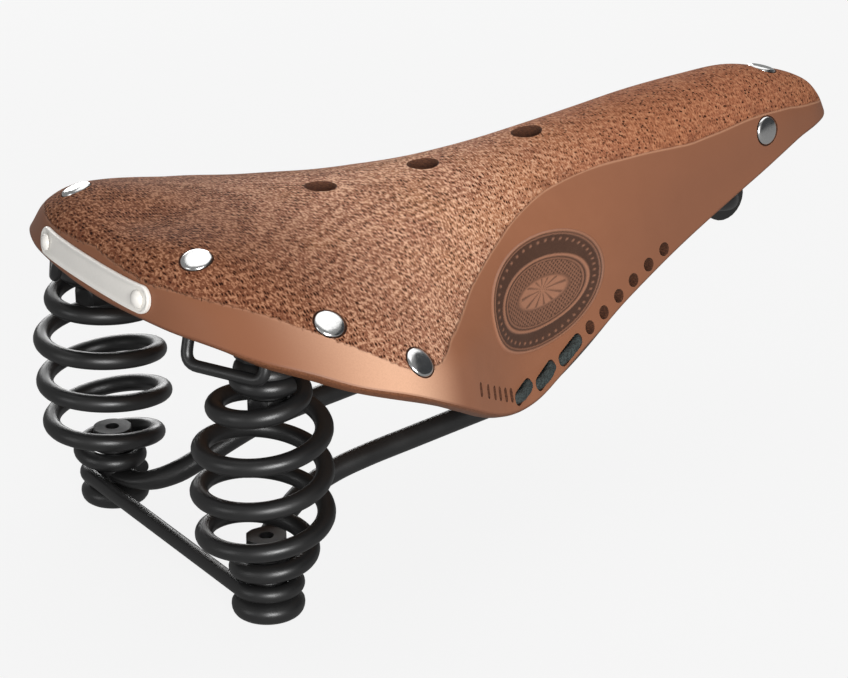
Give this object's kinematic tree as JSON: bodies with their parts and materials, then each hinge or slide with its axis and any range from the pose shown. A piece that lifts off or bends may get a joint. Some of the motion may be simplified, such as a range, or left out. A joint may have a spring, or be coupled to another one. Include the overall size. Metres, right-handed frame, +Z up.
{
  "type": "sprung leather bicycle saddle",
  "caption": "Moulded leather bicycle saddle on a rear steel plate with coil springs, bent steel rails and a nose tension bolt.",
  "frame": {"origin": "midway between the centre lines of the two straight rail lengths where a seatpost clamps them", "axes": "+X forward along the saddle to the nose, +Y to the rider's left, +Z up"},
  "size_m": [0.2736, 0.176, 0.1169],
  "materials": {
    "leather": "thick red-brown hide, pebbled and lightly cracked on top, smooth waxed skirts",
    "black_steel": "satin black powder coat",
    "nickel": "bright nickel plate",
    "zinc_steel": "zinc-plated steel",
    "lace_cord": "dark braided cord"
  },
  "bodies": {
    "frame": {"rails": "black_steel", "rear_crossbar": "black_steel", "lower_bolt_left": "black_steel", "lower_washer_left": "black_steel", "spring_cap_left": "black_steel", "spring_left": "black_steel", "lower_bolt_right": "black_steel", "lower_washer_right": "black_steel", "spring_cap_right": "black_steel", "spring_right": "black_steel"},
    "seat": {"leather_top": "leather", "cantle_plate": "black_steel", "badge_plate": "nickel", "lace": "lace_cord", "shackle": "black_steel", "bag_loop_left": "black_steel", "upper_bolt_left": "black_steel", "cup_washer_left": "black_steel", "upper_washer_left": "black_steel", "upper_nut_left": "black_steel", "badge_rivet_left": "nickel", "rear_rivet_left_1": "nickel", "rear_rivet_left_2": "nickel", "rear_rivet_left_3": "nickel", "bag_loop_right": "black_steel", "upper_bolt_right": "black_steel", "cup_washer_right": "black_steel", "upper_washer_right": "black_steel", "upper_nut_right": "black_steel", "badge_rivet_right": "nickel", "rear_rivet_right_1": "nickel", "rear_rivet_right_2": "nickel", "rear_rivet_right_3": "nickel"},
    "nose": {"nose_piece": "black_steel", "nose_rivet_left": "nickel", "nose_rivet_right": "nickel", "nose_rivet_top": "nickel", "tension_bolt": "zinc_steel"},
    "tension_nut": {"tension_nut": "zinc_steel"}
  },
  "joints": [
    {"name": "suspension", "type": "hinge", "parent": "frame", "child": "seat", "pos_m": [0.142, 0, 0.0463], "axis": [0, 1, 0], "range_deg": [-3.5, 0], "stiffness_Nm_per_rad": 1500, "deforming": ["spring_left", "spring_right"]},
    {"name": "nose_slide", "type": "slide", "parent": "seat", "child": "nose", "axis": [1, 0, 0], "range_m": [0, 0.006], "deforming": ["leather_top"]},
    {"name": "tension_nut_turn", "type": "hinge", "parent": "seat", "child": "tension_nut", "pos_m": [0.1485, 0, 0.0643], "axis": [1, 0, 0], "range_deg": [0, 2160.5]}
  ],
  "couplings": [
    {"joint": "tension_nut_turn", "follows": "nose_slide", "rad_per_m": 6283.2}
  ]
}
